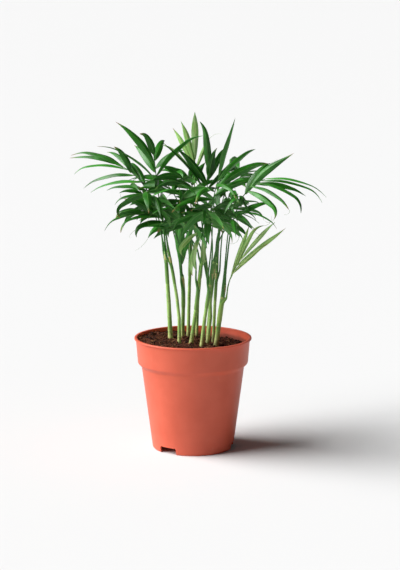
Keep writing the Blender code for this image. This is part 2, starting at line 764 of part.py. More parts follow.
def make_palms(soil):
    stem_green = new_material(STEM_GREEN)
    leaf_green = new_material(LEAF_GREEN)
    young_green = new_material(YOUNG_GREEN)
    space = Space()
    stems = {}
    for name, stem in STEMS.items():
        rings = stem_rings(stem)
        space.add(name, rings)
        stems[name] = new_object(f"{name}_stem", tube_mesh(rings), stem_green, metres(stem.course[0]), soil)
        shade_round(stems[name])
    fronds = {
        f"{palm}_frond_{index + 1}": (palm, frond)
        for palm, own in FRONDS.items()
        for index, frond in enumerate(own)
    }
    lines = {}
    for name, (palm, frond) in fronds.items():
        lines[name] = free_line(name, frond, STEMS[palm], space)
        space.add(name, spine_rings(lines[name]))
    for name in sorted(fronds, key=lambda name: fronds[name][1].tips is None):
        palm, frond = fronds[name]
        material = young_green if frond.young else leaf_green
        make_frond(name, frond, lines[name], space, stems[palm], material)


def main():
    for leftover in list(bpy.data.objects):
        bpy.data.objects.remove(leftover, do_unlink=True)
    pot = make_pot()
    soil = make_soil(pot)
    make_palms(soil)


main()
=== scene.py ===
# %% [markdown]
# # A parlour palm in a nursery pot
#
# The plant is a group of eleven seedlings in one plastic pot. The frame holds each piece as a
# plain solid in its right place: the pot, the soil, the stems, and one solid for each frond.
# This script replaces every one of them with a finished piece, and reads where each belongs
# from the frame, so nothing here is placed by hand.

# %% Load the frame
import json
import math
import random
from collections import namedtuple
from itertools import combinations

import bmesh
import bpy
from mathutils import Matrix, Quaternion, Vector, noise
from mathutils.bvhtree import BVHTree
from mathutils.geometry import interpolate_bezier


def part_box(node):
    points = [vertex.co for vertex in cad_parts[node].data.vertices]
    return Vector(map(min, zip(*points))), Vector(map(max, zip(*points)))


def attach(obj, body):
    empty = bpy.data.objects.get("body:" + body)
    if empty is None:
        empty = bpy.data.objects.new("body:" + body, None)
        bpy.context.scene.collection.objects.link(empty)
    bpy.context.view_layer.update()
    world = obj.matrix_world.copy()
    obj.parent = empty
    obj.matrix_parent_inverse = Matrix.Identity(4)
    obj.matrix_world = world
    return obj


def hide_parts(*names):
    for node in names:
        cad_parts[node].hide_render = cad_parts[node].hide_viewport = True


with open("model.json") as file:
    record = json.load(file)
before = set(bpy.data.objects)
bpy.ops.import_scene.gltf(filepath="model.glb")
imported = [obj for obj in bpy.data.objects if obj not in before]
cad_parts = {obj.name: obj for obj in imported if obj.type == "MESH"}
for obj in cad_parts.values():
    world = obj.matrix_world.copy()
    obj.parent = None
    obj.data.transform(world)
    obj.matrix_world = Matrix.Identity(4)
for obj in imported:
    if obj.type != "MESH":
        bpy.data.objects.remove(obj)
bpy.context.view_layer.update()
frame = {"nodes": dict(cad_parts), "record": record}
MM = 0.001
UP = Vector((0.0, 0.0, 1.0))
PALMS = sorted(name[: -len("_stem")] for name in frame["nodes"] if name.endswith("_stem"))
FRONDS = sorted(name for name in frame["nodes"] if "_frond_" in name)
print(len(frame["nodes"]), "nodes:", len(PALMS), "stems and", len(FRONDS), "fronds")

# %% [markdown]
# ## Shader maths
#
# A finish needs many small sums: a vein is a wave across the leaf, a stain is noise times a
# height. As nodes they are hard to read, so a small class lets Python's own operators add the
# Math nodes. Every other node comes from one method, which takes its type, its settings, and
# the values or links of its sockets.

# %% A link that does arithmetic, and a finish that holds the nodes


def sum_node(operation, reflected=False):
    """A method that adds one Math node. A reflected one has its two sides swapped."""

    def method(self, other=0.0):
        first, second = (other, self) if reflected else (self, other)
        return self.finish.add("Math", {"operation": operation}, {0: first, 1: second})

    return method


class Link:
    """An output of a node. Arithmetic on it adds Math nodes."""

    __add__ = sum_node("ADD")
    __radd__ = sum_node("ADD", reflected=True)
    __sub__ = sum_node("SUBTRACT")
    __rsub__ = sum_node("SUBTRACT", reflected=True)
    __mul__ = sum_node("MULTIPLY")
    __rmul__ = sum_node("MULTIPLY", reflected=True)
    __abs__ = sum_node("ABSOLUTE")
    sine = sum_node("SINE")

    def __init__(self, finish, socket):
        self.finish = finish
        self.socket = socket

    def rise(self, low, high):
        """0 where this is under low, 1 where it is over high, and a soft step between."""
        settings = {"interpolation_type": "SMOOTHSTEP"}
        sockets = {"Value": self, "From Min": low, "From Max": high}
        return self.finish.add("MapRange", settings, sockets)

    def fall(self, low, high):
        return 1 - self.rise(low, high)

    def mix(self, first, second):
        """The first colour where this is 0, and the second where it is 1."""
        settings = {"data_type": "RGBA"}
        return self.finish.add("Mix", settings, {0: self, 6: first, 7: second}, 2)


class Finish:
    """A material under construction. Its place is in metres, in the plant's own frame."""

    def __init__(self, name, constants):
        self.material = bpy.data.materials.new(name)
        self.material.use_nodes = True
        self.tree = self.material.node_tree
        self.shader = self.tree.nodes["Principled BSDF"]
        for socket, value in constants.items():
            self.shader.inputs[socket].default_value = value
        self.place = self.add("TexCoord", {}, {}, "Object")

    def add(self, kind, settings, sockets, output=0):
        """One node: its settings first, then what its sockets get."""
        node = self.tree.nodes.new("ShaderNode" + kind)
        for key, value in settings.items():
            setattr(node, key, value)
        for key, value in sockets.items():
            self.feed(node.inputs[key], value)
        return Link(self, node.outputs[output])

    def feed(self, socket, value):
        if isinstance(value, Link):
            self.tree.links.new(value.socket, socket)
        else:
            socket.default_value = value

    def parts_of(self, vector):
        """The x, y and z of a vector."""
        x = self.add("SeparateXYZ", {}, {0: vector})
        node = x.socket.node
        return x, Link(self, node.outputs[1]), Link(self, node.outputs[2])

    def uv(self):
        return self.parts_of(self.add("UVMap", {"uv_map": "UVMap"}, {}))[:2]

    def attribute(self, name):
        return self.add("Attribute", {"attribute_name": name}, {}, "Fac")

    def noise(self, size, detail=3.0, roughness=0.55, squeeze=None):
        """Noise from 0 to 1, with lumps of a size in metres.

        "squeeze" scales the place along each axis, so lumps are longer where it is under 1.
        """
        place = self.place
        if squeeze:
            place = self.add("VectorMath", {"operation": "MULTIPLY"}, {0: place, 1: squeeze})
        sockets = {"Vector": place, "Scale": 1 / size, "Detail": detail, "Roughness": roughness}
        return self.add("TexNoise", {}, sockets)

    def bump(self, height, distance, strength=1.0):
        """Feeds the shader's normal with bumps up to a height in metres."""
        sockets = {"Height": height, "Distance": distance, "Strength": strength}
        self.feed(self.shader.inputs["Normal"], self.add("Bump", {}, sockets))

    def shade(self, socket, value):
        self.feed(self.shader.inputs[socket], value)

    def let_light_through(self, colour, share):
        """Mixes in light from behind, as a thin leaf or a thin plastic wall shows."""
        output = self.tree.nodes["Material Output"].inputs["Surface"]
        through = self.add("BsdfTranslucent", {}, {"Color": colour})
        principled = Link(self, self.shader.outputs[0])
        self.feed(output, self.add("MixShader", {}, {0: share, 1: principled, 2: through}))


def paint(red, green, blue):
    """A screen colour, from 0 to 255, as the linear light that a shader takes."""
    parts = [value / 255 for value in (red, green, blue)]
    return (*(p / 12.92 if p <= 0.04045 else ((p + 0.055) / 1.055) ** 2.4 for p in parts), 1.0)


# %% [markdown]
# ## Helpers for meshes
#
# Stems, stalks, sheaths and fibres are all tubes along a curve. Each is grown as a plant grows:
# a round cap is extruded ring by ring, and each new ring is put in its place. The curve through
# the frame's few points is a chain of Bezier stretches, which passes through every point.

# %% Lines, tubes and finished pieces


def smooth_line(points, steps):
    """Points on a smooth curve through the given ones, with so many steps to each stretch."""
    ends = [2 * points[0] - points[1], *points, 2 * points[-1] - points[-2]]
    line = []
    for before, start, stop, after in zip(ends, ends[1:], ends[2:], ends[3:]):
        line += interpolate_bezier(
            start, start + (stop - before) / 6, stop - (after - start) / 6, stop, steps + 1
        )[:-1]
    return [*line, points[-1]]


def directions(line):
    """The way that the line runs at each of its points."""
    last = len(line) - 1
    return [(line[min(i + 1, last)] - line[max(i - 1, 0)]).normalized() for i in range(last + 1)]


def distances(line):
    """How far along the line each of its points is."""
    gone = [0.0]
    for start, stop in zip(line, line[1:]):
        gone.append(gone[-1] + (stop - start).length)
    return gone


def grow_tube(bm, line, radii, side, sides=8, shape=lambda angle, index: 1.0, mark=None):
    """Extrudes a round cap along a line. "shape" changes the radius round each ring.

    "mark" is a vertex layer, and its values, one for each ring.
    """
    cap = bmesh.ops.create_circle(bm, cap_ends=True, segments=sides)["verts"][0].link_faces[0]
    for index, (centre, along, radius) in enumerate(zip(line, directions(line), radii)):
        if index == 1:
            grown = bmesh.ops.extrude_face_region(bm, geom=[cap], use_keep_orig=True)["geom"]
            cap = next(item for item in grown if isinstance(item, bmesh.types.BMFace))
        elif index:
            cap = bmesh.ops.extrude_discrete_faces(bm, faces=[cap])["faces"][0]
        normal = side.cross(along).normalized()
        across = along.cross(normal)
        for step, vert in enumerate(cap.verts):
            angle = math.tau * step / sides
            reach = radius * shape(angle, index)
            vert.co = centre + (across * math.cos(angle) + normal * math.sin(angle)) * reach
            if mark:
                vert[mark[0]] = mark[1][index]


def in_scene(name, data):
    """An object in the scene, with a lamp's or a camera's data, or a mesh from a bmesh."""
    if isinstance(data, bmesh.types.BMesh):
        bm, data = data, bpy.data.meshes.new(name)
        bm.to_mesh(data)
        bm.free()
    thing = bpy.data.objects.new(name, data)
    bpy.context.scene.collection.objects.link(thing)
    return thing


def finished(name, bm, materials, slot, replaced=(), levels=0):
    """A piece from a bmesh: smooth, with its material slots, riding on the root body."""
    bmesh.ops.recalc_face_normals(bm, faces=bm.faces)
    piece = in_scene(name, bm)
    piece.data.shade_smooth()
    for material in materials:
        piece.data.materials.append(material)
    if levels:
        smooth = piece.modifiers.new("smooth", "SUBSURF")
        smooth.levels = levels
        smooth.render_levels = levels
    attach(piece, "root")
    if replaced:
        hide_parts(*replaced)
    print(name, "has", len(piece.data.polygons), "faces")
    return piece


# %% [markdown]
# ## Reading a frond from the frame
#
# A frond's solid was grown the way a frond grows: a square stalk of rings of four corners, and
# from each stretch of it one leaflet, through two more rings of four to a point. A sharp point
# with four neighbours is therefore a leaflet's tip. Walking from the tip, ring by ring, gives
# the leaflet's middle line, its width and its upper side. The rings that are left are the stalk.

# %% Leaflets and stalks from a solid
WELD = 0.01 * MM
SHARP_TIP = math.radians(200)
Leaflet = namedtuple("Leaflet", "root middles tip ups half arch")
Frond = namedtuple("Frond", "stalk leaflets")


def welded(node):
    """A copy of a node's mesh, with its loose triangles joined up."""
    bm = bmesh.new()
    bm.from_mesh(frame["nodes"][node].data)
    bmesh.ops.remove_doubles(bm, verts=bm.verts, dist=WELD)
    return bm


def around(verts):
    """The neighbours of some corners that aren't among them."""
    return {edge.other_vert(vert) for vert in verts for edge in vert.link_edges} - set(verts)


def middle(verts):
    """The mean place of some corners."""
    return sum((vert.co for vert in verts), Vector()) / len(verts)


def is_tip(vert):
    """Whether a corner is a leaflet's point: four edges, and sharp."""
    angles = sum(loop.calc_angle() for loop in vert.link_loops)
    return len(vert.link_edges) == 4 and angles < SHARP_TIP


def chevron(ring):
    """A leaflet's cross section: its middle, its upward direction, half width and fold."""
    edges = max(combinations(ring, 2), key=lambda pair: (pair[0].co - pair[1].co).length)
    centre = middle(edges)
    ridge = middle([vert for vert in ring if vert not in edges])
    half = (edges[0].co - edges[1].co).length / 2
    return centre, (ridge - centre).normalized(), half, (ridge - centre).length / half


def stalk_rings(end, blade):
    """The stalk's rings from its end back to its foot, if "end" is one of them."""
    rings = [set(end)]
    seen = set(end) | blade
    while True:
        ring = around(rings[-1]) - seen
        if not ring:
            break
        rings.append(ring)
        seen |= ring
    return rings if all(len(ring) == 4 for ring in rings) else None


def read_frond(node):
    """The stalk's middle line, and the leaflets in order from its foot."""
    bm = welded(node)
    blade = set()
    found = []
    for tip in filter(is_tip, bm.verts):
        outer = around([tip])
        inner = around(outer) - {tip}
        base = around(inner) - outer
        blade |= {tip, *outer, *inner}
        found.append((tip, outer, inner, base))
    leaflets = []
    for tip, outer, inner, base in found:
        sections = [chevron(inner), chevron(outer)]
        middles, ups, halves, folds = zip(*sections)
        leaflets.append(Leaflet(middle(base), middles, tip.co.copy(), ups, max(halves), folds[0]))
    rings = next(filter(None, (stalk_rings(base, blade) for *_, base in found)))
    stalk = [middle(ring) for ring in reversed(rings)]
    leaflets.sort(key=lambda leaflet: (leaflet.root - stalk[0]).length)
    bm.free()
    return Frond(stalk, leaflets)


SHAPES = {name: read_frond(name) for name in FRONDS}
for name, frond in SHAPES.items():
    longest = max((leaflet.tip - leaflet.root).length for leaflet in frond.leaflets)
    print(f"{name}: {len(frond.leaflets)} leaflets, the longest {longest / MM:.0f} mm")


# %% [markdown]
# ## Reading a stem
#
# A stem's solid is a tube of rings of eight corners, and it stands nearly upright. Its corners
# sorted by height are therefore its rings, and each ring gives a point of the middle line and
# a radius.

# %% Stems from their solids
STEM_CORNERS = 8
Stem = namedtuple("Stem", "line radii")


def read_stem(node):
    """The stem's middle line, and its radius at each point."""
    bm = welded(node)
    corners = sorted(bm.verts, key=lambda vert: vert.co.z)
    line, radii = [], []
    for first in range(0, len(corners), STEM_CORNERS):
        ring = corners[first:first + STEM_CORNERS]
        line.append(middle(ring))
        radii.append(sum((vert.co - line[-1]).length for vert in ring) / STEM_CORNERS)
    bm.free()
    return Stem(line, radii)


def at_height(stem, height):
    """The middle and the radius of a stem at a height."""
    for start, stop, thick, thin in zip(stem.line, stem.line[1:], stem.radii, stem.radii[1:]):
        if height <= stop.z or stop is stem.line[-1]:
            share = (height - start.z) / (stop.z - start.z)
            return start.lerp(stop, share), thick + (thin - thick) * min(share, 1.0)


STEMS = {palm: read_stem(f"{palm}_stem") for palm in PALMS}
for palm, stem in STEMS.items():
    print(f"{palm}: {stem.radii[0] / MM:.1f} to {stem.radii[-1] / MM:.1f} mm in radius")


# %% [markdown]
# ## The pot
#
# A nursery pot is moulded in one shot from thin polypropylene, and nearly every part of it is
# round, so its wall is drawn once as an outline and spun about the pot's axis. The mould's
# corners are all slightly rounded. So the outline is given as corners, each with its own small
# radius, and a function draws the arcs. The water notches and drain holes are then cut with
# Booleans, which is also how the mould makes them: steel fills those places.

# %% The pot's outline
POT_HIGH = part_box("pot")[1]
RIM = POT_HIGH.x
TOP = POT_HIGH.z
WALL = 1.2 * MM
LIP_HEIGHT = 2.0 * MM
LIP_REACH = 1.6 * MM
COLLAR_LOW = TOP - 26 * MM
BODY_TOP = COLLAR_LOW - 4 * MM
COLLAR_TAPER = 2.0 * MM
STEP_DEPTH = 3.8 * MM
FOOT_RADIUS = 41.5 * MM
PLATE_UNDER = 7.8 * MM
PLATE_TOP = 9.2 * MM
ARC_STEPS = 4
ARC_PULL = 0.6


def rounded(corners):
    """The outline through (radius, height, rounding) corners, with an arc at each."""
    points = [Vector((radius, 0.0, height)) for radius, height, _ in corners]
    outline = [points[0]]
    for before, corner, after, (_, _, rounding) in zip(points, points[1:], points[2:], corners[1:]):
        start = corner + (before - corner).normalized() * rounding
        stop = corner + (after - corner).normalized() * rounding
        outline += interpolate_bezier(
            start, start.lerp(corner, ARC_PULL), stop.lerp(corner, ARC_PULL), stop, ARC_STEPS
        )
    return [*outline, points[-1]]


def body_radius(height):
    """The outside of the tapering body at a height."""
    body_top = RIM - LIP_REACH - COLLAR_TAPER - STEP_DEPTH
    return FOOT_RADIUS + (body_top - FOOT_RADIUS) * height / BODY_TOP


def inner_radius(height):
    """The inside of the pot at a height."""
    if height < COLLAR_LOW:
        return body_radius(min(height, BODY_TOP)) - WALL
    share = (height - COLLAR_LOW) / (TOP - LIP_HEIGHT - COLLAR_LOW)
    return RIM - LIP_REACH - COLLAR_TAPER * (1 - share) - WALL


def pot_outline():
    """From the middle of the bowl, out over the lip, down the outside, and in under the plate."""
    collar = RIM - LIP_REACH
    outside = [
        (RIM, TOP, 0.7 * MM), (RIM, TOP - LIP_HEIGHT, 0.7 * MM), (collar, TOP - LIP_HEIGHT, 0.3 * MM),
        (collar - COLLAR_TAPER, COLLAR_LOW, 0.9 * MM), (body_radius(BODY_TOP), BODY_TOP, 1.2 * MM),
        (FOOT_RADIUS, 0.0, 1.3 * MM),
    ]
    inside = [
        (FOOT_RADIUS - 1.9 * WALL, 0.0, 0.3 * MM),
        (body_radius(PLATE_UNDER) - WALL, PLATE_UNDER, 0.5 * MM), (0.0, PLATE_UNDER, 0.0),
    ]
    bowl = [
        (0.0, PLATE_TOP, 0.0), (body_radius(PLATE_TOP) - WALL, PLATE_TOP, 1.5 * MM),
        (body_radius(BODY_TOP) - WALL, BODY_TOP + WALL / 2, 2.0 * MM),
        (collar - COLLAR_TAPER - WALL, COLLAR_LOW + WALL / 2, 1.6 * MM),
        (collar - WALL, TOP - LIP_HEIGHT, 0.5 * MM),
    ]
    return rounded([*bowl, (collar - WALL, TOP, 0.5 * MM), *outside, *inside])


print("the pot's outline has", len(pot_outline()), "points")

# %% Spinning the pot and cutting its notches and drain holes
POT_STEPS = 144
NOTCHES = 3
NOTCH_BEARING = 82.0
NOTCH_SIZE = Vector((20.0, 20.0, 13.6)) * MM
NOTCH_CORNER = 1.6 * MM
CORNER_STEPS = 4
DRAIN_RADIUS = 4.5 * MM
DRAIN_CIRCLE = 27 * MM
DRAIN_STEPS = 32


def spun(outline, steps):
    """A closed solid, from an outline that starts and ends on the axis."""
    bm = bmesh.new()
    corners = [bm.verts.new(point) for point in outline]
    edges = [bm.edges.new(pair) for pair in zip(corners, corners[1:])]
    bmesh.ops.spin(
        bm, geom=corners + edges, cent=(0, 0, 0), axis=(0, 0, 1),
        angle=math.tau, steps=steps, use_merge=True,
    )
    bmesh.ops.remove_doubles(bm, verts=bm.verts, dist=WELD / 10)
    bmesh.ops.recalc_face_normals(bm, faces=bm.faces)
    return bm


def pot_cutters():
    """A rounded block for each notch, and a round bar for each drain hole."""
    ways = [math.radians(NOTCH_BEARING - 90 + 360 * index / NOTCHES) for index in range(NOTCHES)]
    for way in ways:
        bm = bmesh.new()
        bmesh.ops.create_cube(bm, size=1.0)
        bmesh.ops.scale(bm, vec=NOTCH_SIZE, verts=bm.verts)
        long_edges = [e for e in bm.edges if abs((e.verts[0].co - e.verts[1].co).x) > NOTCH_SIZE.x / 2]
        bmesh.ops.bevel(
            bm, geom=long_edges, offset=NOTCH_CORNER, segments=CORNER_STEPS, profile=0.5,
            affect="EDGES", material=-1,
        )
        bmesh.ops.translate(bm, vec=(FOOT_RADIUS, 0, 0), verts=bm.verts)
        bmesh.ops.rotate(bm, cent=(0, 0, 0), matrix=Matrix.Rotation(way, 3, "Z"), verts=bm.verts)
        yield in_scene("notch_cutter", bm)
    for centre in [Vector(), *(Vector((math.cos(way), math.sin(way), 0)) * DRAIN_CIRCLE for way in ways)]:
        bm = bmesh.new()
        bmesh.ops.create_cone(
            bm, cap_ends=True, segments=DRAIN_STEPS, radius1=DRAIN_RADIUS, radius2=DRAIN_RADIUS,
            depth=2 * PLATE_UNDER,
        )
        bmesh.ops.translate(bm, vec=centre + UP * PLATE_UNDER, verts=bm.verts)
        yield in_scene("drain_cutter", bm)


def cut_pot():
    """The pot's mesh with its cutters taken out of it."""
    blank = in_scene("pot_blank", spun(pot_outline(), POT_STEPS))
    cutters = list(pot_cutters())
    for cutter in cutters:
        cut = blank.modifiers.new("cut", "BOOLEAN")
        cut.operation = "DIFFERENCE"
        cut.solver = "EXACT"
        cut.object = cutter
    shape = blank.evaluated_get(bpy.context.evaluated_depsgraph_get())
    bm = bmesh.new()
    bm.from_mesh(shape.to_mesh())
    shape.to_mesh_clear()
    for thing in [blank, *cutters]:
        bpy.data.objects.remove(thing)
    inside = bm.verts.layers.float.new("inside")
    for vert in bm.verts:
        deep = math.hypot(vert.co.x, vert.co.y) < inner_radius(vert.co.z) + WALL / 2
        vert[inside] = float(deep and vert.co.z > PLATE_UNDER + WALL / 2)
    return bm


# %% [markdown]
# ### Terracotta-coloured plastic
#
# The colour goes right through the plastic, so nothing is painted on. What makes it look like
# plastic and not clay is the gloss: satin, with a very fine grain from the mould. A thin wall
# also lets a little light through, which is why the inside of the rim glows. Wet potting soil
# has left a dark tide mark on the inside, and there are faint flow lines and dusty scuffs.

# %% The pot's finish
TIDE_MARK = (TOP - 6 * MM, TOP - 1.5 * MM)
TIDE_RAGGED = 5 * MM
SOFT_EDGE = math.radians(34)


def make_pot_finish():
    """Satin plastic: clean, with scuffs outside and a tide mark of soil inside."""
    finish = Finish("terracotta plastic", {"Specular IOR Level": 0.36})
    z = finish.parts_of(finish.place)[2]
    clean = finish.noise(0.030).rise(0.3, 0.7).mix(paint(222, 103, 77), paint(214, 96, 70))
    scuffs = finish.noise(0.006, 6, squeeze=(1, 1, 0.4)).rise(0.62, 0.78)
    dusty = (scuffs * 0.12).mix(clean, paint(226, 160, 138))
    inside = finish.attribute("inside")
    ragged = z + finish.noise(0.012) * TIDE_RAGGED
    stain = ragged.fall(*TIDE_MARK) * inside * z.rise(PLATE_TOP, PLATE_TOP + WALL)
    finish.shade("Base Color", (stain * 0.75).mix(dusty, paint(82, 46, 32)))
    smears = finish.noise(0.018, 4)
    finish.shade("Roughness", 0.36 + smears * 0.14 + scuffs * 0.15 + stain * 0.3)
    grain = finish.noise(0.00045, 2) * 0.5
    flow_lines = finish.noise(0.004, 2, squeeze=(1, 1, 0.2))
    finish.bump(grain + flow_lines, 0.00005, 0.6)
    finish.let_light_through(paint(232, 96, 52), 0.16)
    return finish.material


POT_FINISH = make_pot_finish()
pot = finished("nursery_pot", cut_pot(), [POT_FINISH], "pot_plastic", ["pot"])
pot.data.set_sharp_from_angle(angle=SOFT_EDGE)


# %% [markdown]
# ## Potting soil
#
# Potting soil is damp peat with bark and coconut fibre in it. Its surface is the frame's, felt
# from above with rays, with finer lumps added. Watering has pushed it up a little on one side
# of the pot and hollowed it on the other. Loose crumbs, bark and fibres then lie on it. They
# are real pieces, because one looks across the soil at a low angle, where painted crumbs would
# look flat.

# %% Feeling the frame's soil
LUMPS = ((12 * MM, 1.5 * MM), (4.5 * MM, 1.4 * MM), (1.7 * MM, 0.7 * MM))
HEAP_WAY = Vector((-0.9, 0.44))
HEAP_HEIGHT = 2.6 * MM
HOLLOW_WAY = Vector((0.92, 0.4))
HOLLOW_DEPTH = 4.5 * MM
FEELERS = 8
FEELER_REACH = 4.5 * MM
HOLE_DEPTH = 12 * MM
SOIL_LOW, SOIL_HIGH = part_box("soil")
SOIL_BODY = welded("soil")
SOIL_TREE = BVHTree.FromBMesh(SOIL_BODY)


def felt_height(x, y):
    """The height of the frame's soil round a place, taken over the holes that stems stand in."""
    feelers = [math.tau * index / FEELERS for index in range(FEELERS)]
    places = [(x + math.cos(a) * FEELER_REACH, y + math.sin(a) * FEELER_REACH) for a in feelers]
    hits = [SOIL_TREE.ray_cast(Vector((*place, TOP)), -UP)[0] for place in [(x, y), *places]]
    heights = [hit.z for hit in hits if hit and hit.z > TOP - HOLE_DEPTH]
    return sum(heights) / len(heights)


def soil_height(x, y):
    """The height of the finished soil, lumps and all."""
    place = Vector((x, y, 0))
    lumps = sum((noise.noise(place / size) * height for size, height in LUMPS), 0.0)
    heap = max(0.0, Vector((x, y)) @ HEAP_WAY) / RIM * HEAP_HEIGHT
    hollow = max(0.0, Vector((x, y)) @ HOLLOW_WAY) / RIM * HOLLOW_DEPTH
    return felt_height(x, y) + lumps + heap - hollow


print("soil in the middle of the pot:", round(soil_height(0, 0) / MM, 1), "mm up")

# %% The body of the soil
SOIL_CELLS = 150
SOIL_INTO_WALL = 0.4 * MM
SOIL_OFF_WALL = 0.2 * MM
SOIL_LEVELS = (COLLAR_LOW + WALL, BODY_TOP - WALL, SOIL_LOW.z)
SOIL_EDGE = inner_radius(SOIL_HIGH.z) + SOIL_INTO_WALL


def make_soil_body():
    """A square grid drawn onto a disc and lowered onto the soil, then walls and a floor."""
    bm = bmesh.new()
    bmesh.ops.create_grid(bm, x_segments=SOIL_CELLS, y_segments=SOIL_CELLS, size=1.0)
    for vert in bm.verts:
        x, y, _ = vert.co
        round_x = x * math.sqrt(1 - y * y / 2) * SOIL_EDGE
        round_y = y * math.sqrt(1 - x * x / 2) * SOIL_EDGE
        inside = 1 - SOIL_INTO_WALL / SOIL_EDGE * 2
        vert.co = (round_x, round_y, soil_height(round_x * inside, round_y * inside))
    rim = [edge for edge in bm.edges if edge.is_boundary]
    for level in SOIL_LEVELS:
        grown = bmesh.ops.extrude_edge_only(bm, edges=rim)["geom"]
        rim = [item for item in grown if isinstance(item, bmesh.types.BMEdge)]
        for vert in {vert for edge in rim for vert in edge.verts}:
            way = Vector((vert.co.x, vert.co.y, 0)).normalized()
            vert.co = way * (inner_radius(level) - SOIL_OFF_WALL) + UP * level
        rim = [edge for edge in rim if edge.is_boundary]
    bmesh.ops.edgeloop_fill(bm, edges=rim)
    return bm


# %% [markdown]
# ### What the soil looks like
#
# Peat is nearly black when it is wet and red-brown where it dries. The colour follows the
# lumps of the surface's bumps: painted shade darkens the hollows and the tops stay browner,
# and the deepest pits of a fine grain are painted near-black shade. The crumbs, the bark and
# the fibres share one finish, and each piece of them has a tone of its own, kept on its corners.

# %% The soil's finishes


def make_soil_finish():
    """Painted shade in the lumps' hollows and the grain's pits, browner on the lumps' tops."""
    finish = Finish("potting soil", {"Roughness": 0.95, "Specular IOR Level": 0.2})
    lumps = finish.noise(0.004, 5, 0.65)
    grain = finish.noise(0.0009, 3, 0.7)
    fibres = finish.noise(0.0022, 4, 0.7, squeeze=(1, 0.25, 1))
    # painted shade: the colour is darkest in the hollows of the lumps that also make the bumps, browner on
    # their tops
    dry = lumps.rise(0.38, 0.66)
    colour = dry.mix(paint(42, 15, 5), paint(90, 43, 22))
    colour = grain.rise(0.58, 0.75).mix(colour, paint(128, 72, 42))
    colour = (fibres.rise(0.60, 0.70) * 0.7).mix(colour, paint(146, 96, 62))
    # painted shade: near-black in the deepest pits of the grain, which also feeds the bumps
    finish.shade("Base Color", grain.fall(0.30, 0.42).mix(colour, paint(16, 5, 2)))
    finish.bump(lumps + grain * 0.6 + fibres * 0.3, 0.0011, 0.9)
    return finish.material


def make_litter_finish():
    """From dark crumbs to pale fibres, by each piece's tone."""
    finish = Finish("bark and fibre", {"Specular IOR Level": 0.25})
    tone = finish.attribute("tone")
    grain = finish.noise(0.0007, 4, 0.7, squeeze=(1, 1, 3))
    dark = tone.rise(0.0, 0.45).mix(paint(28, 10, 4), paint(88, 42, 22))
    colour = tone.rise(0.45, 1.0).mix(dark, paint(178, 126, 82))
    finish.shade("Base Color", (grain.fall(0.35, 0.6) * 0.6).mix(colour, paint(34, 14, 6)))
    finish.shade("Roughness", 0.8 + grain * 0.15)
    finish.bump(grain, 0.0003, 0.8)
    return finish.material


SOIL_FINISH = make_soil_finish()
LITTER_FINISH = make_litter_finish()
finished("soil_surface", make_soil_body(), [SOIL_FINISH], "potting_soil", ["soil"])

# %% Crumbs, bark and fibres
LITTER_INSET = 1.5 * MM
CRUMB_SIZES = (0.45 * MM, 1.95 * MM)
CHIP_SIZES = ((2.5 * MM, 6.5 * MM), (1.4 * MM, 3.0 * MM), (0.7 * MM, 1.3 * MM))
CHIP_WEAR = 0.22 * MM
CHIP_GRAIN = 1.6 * MM
CHIP_ROUGH = 0.35 * MM
FIBRE_POINTS = 6
FIBRE_STEPS = (1.0 * MM, 2.6 * MM)
FIBRE_RADII = (0.10 * MM, 0.22 * MM)
FIBRE_SIDES = 5


def somewhere(rng):
    """A place on the soil, as likely in one part of it as in another."""
    reach = math.sqrt(rng.random()) * (SOIL_EDGE - LITTER_INSET)
    turn = rng.uniform(0, math.tau)
    return reach * math.cos(turn), reach * math.sin(turn)


def tumbled(rng, tilt):
    """A turn about the upright axis, after a lean of up to the tilt."""
    lean = Matrix.Rotation(rng.uniform(-tilt, tilt), 4, "X")
    lean = lean @ Matrix.Rotation(rng.uniform(-tilt, tilt), 4, "Y")
    return Matrix.Rotation(rng.uniform(0, math.tau), 4, "Z") @ lean


def add_crumb(bm, tone, rng, x, y):
    """A small rough lump. Most are tiny."""
    small, large = CRUMB_SIZES
    size = small + (large - small) * rng.random() ** 4
    stretch = (rng.uniform(0.8, 1.5), rng.uniform(0.7, 1.1), rng.uniform(0.5, 0.9), 1)
    where = Matrix.Translation((x, y, soil_height(x, y) + size * 0.25)) @ tumbled(rng, 1.2)
    where = where @ Matrix.Diagonal(stretch)
    lump = bmesh.ops.create_icosphere(bm, subdivisions=1, radius=size, matrix=where)
    shade = 0.35 * rng.random() + 0.25 * rng.random() ** 3
    for vert in lump["verts"]:
        vert[tone] = shade
        vert.co += noise.noise_vector(vert.co / size) * size * 0.25


def add_chip(bm, tone, rng, x, y):
    """A flat chip of bark with worn edges."""
    where = Matrix.Translation((x, y, soil_height(x, y) + 0.5 * MM)) @ tumbled(rng, 0.35)
    size = [rng.uniform(*sizes) for sizes in CHIP_SIZES]
    chip = bmesh.ops.create_cube(bm, size=1.0, matrix=where @ Matrix.Diagonal((*size, 1)))
    edges = list({edge for vert in chip["verts"] for edge in vert.link_edges})
    worn = bmesh.ops.bevel(
        bm, geom=edges, offset=CHIP_WEAR, segments=2, profile=0.5, affect="EDGES", material=-1,
    )
    shade = rng.uniform(0.25, 0.75)
    for vert in worn["verts"]:
        vert[tone] = shade
        vert.co += noise.noise_vector(vert.co / CHIP_GRAIN) * CHIP_ROUGH


def add_fibre(bm, tone, rng, x, y):
    """A thin thread of coconut fibre, which wanders over the soil."""
    way = rng.uniform(0, math.tau)
    step = rng.uniform(*FIBRE_STEPS)
    points = []
    for _ in range(FIBRE_POINTS):
        if math.hypot(x, y) < SOIL_EDGE - LITTER_INSET:
            lift = rng.uniform(0.1, 0.9) * MM
            points.append(Vector((x, y, soil_height(x, y) + lift)))
        way += rng.uniform(-0.7, 0.7)
        x += math.cos(way) * step
        y += math.sin(way) * step
    if len(points) > 2:
        line = smooth_line(points, 3)
        thick = rng.uniform(*FIBRE_RADII)
        shade = rng.uniform(0.5, 1.0)
        grow_tube(bm, line, [thick] * len(line), UP, FIBRE_SIDES, mark=(tone, [shade] * len(line)))


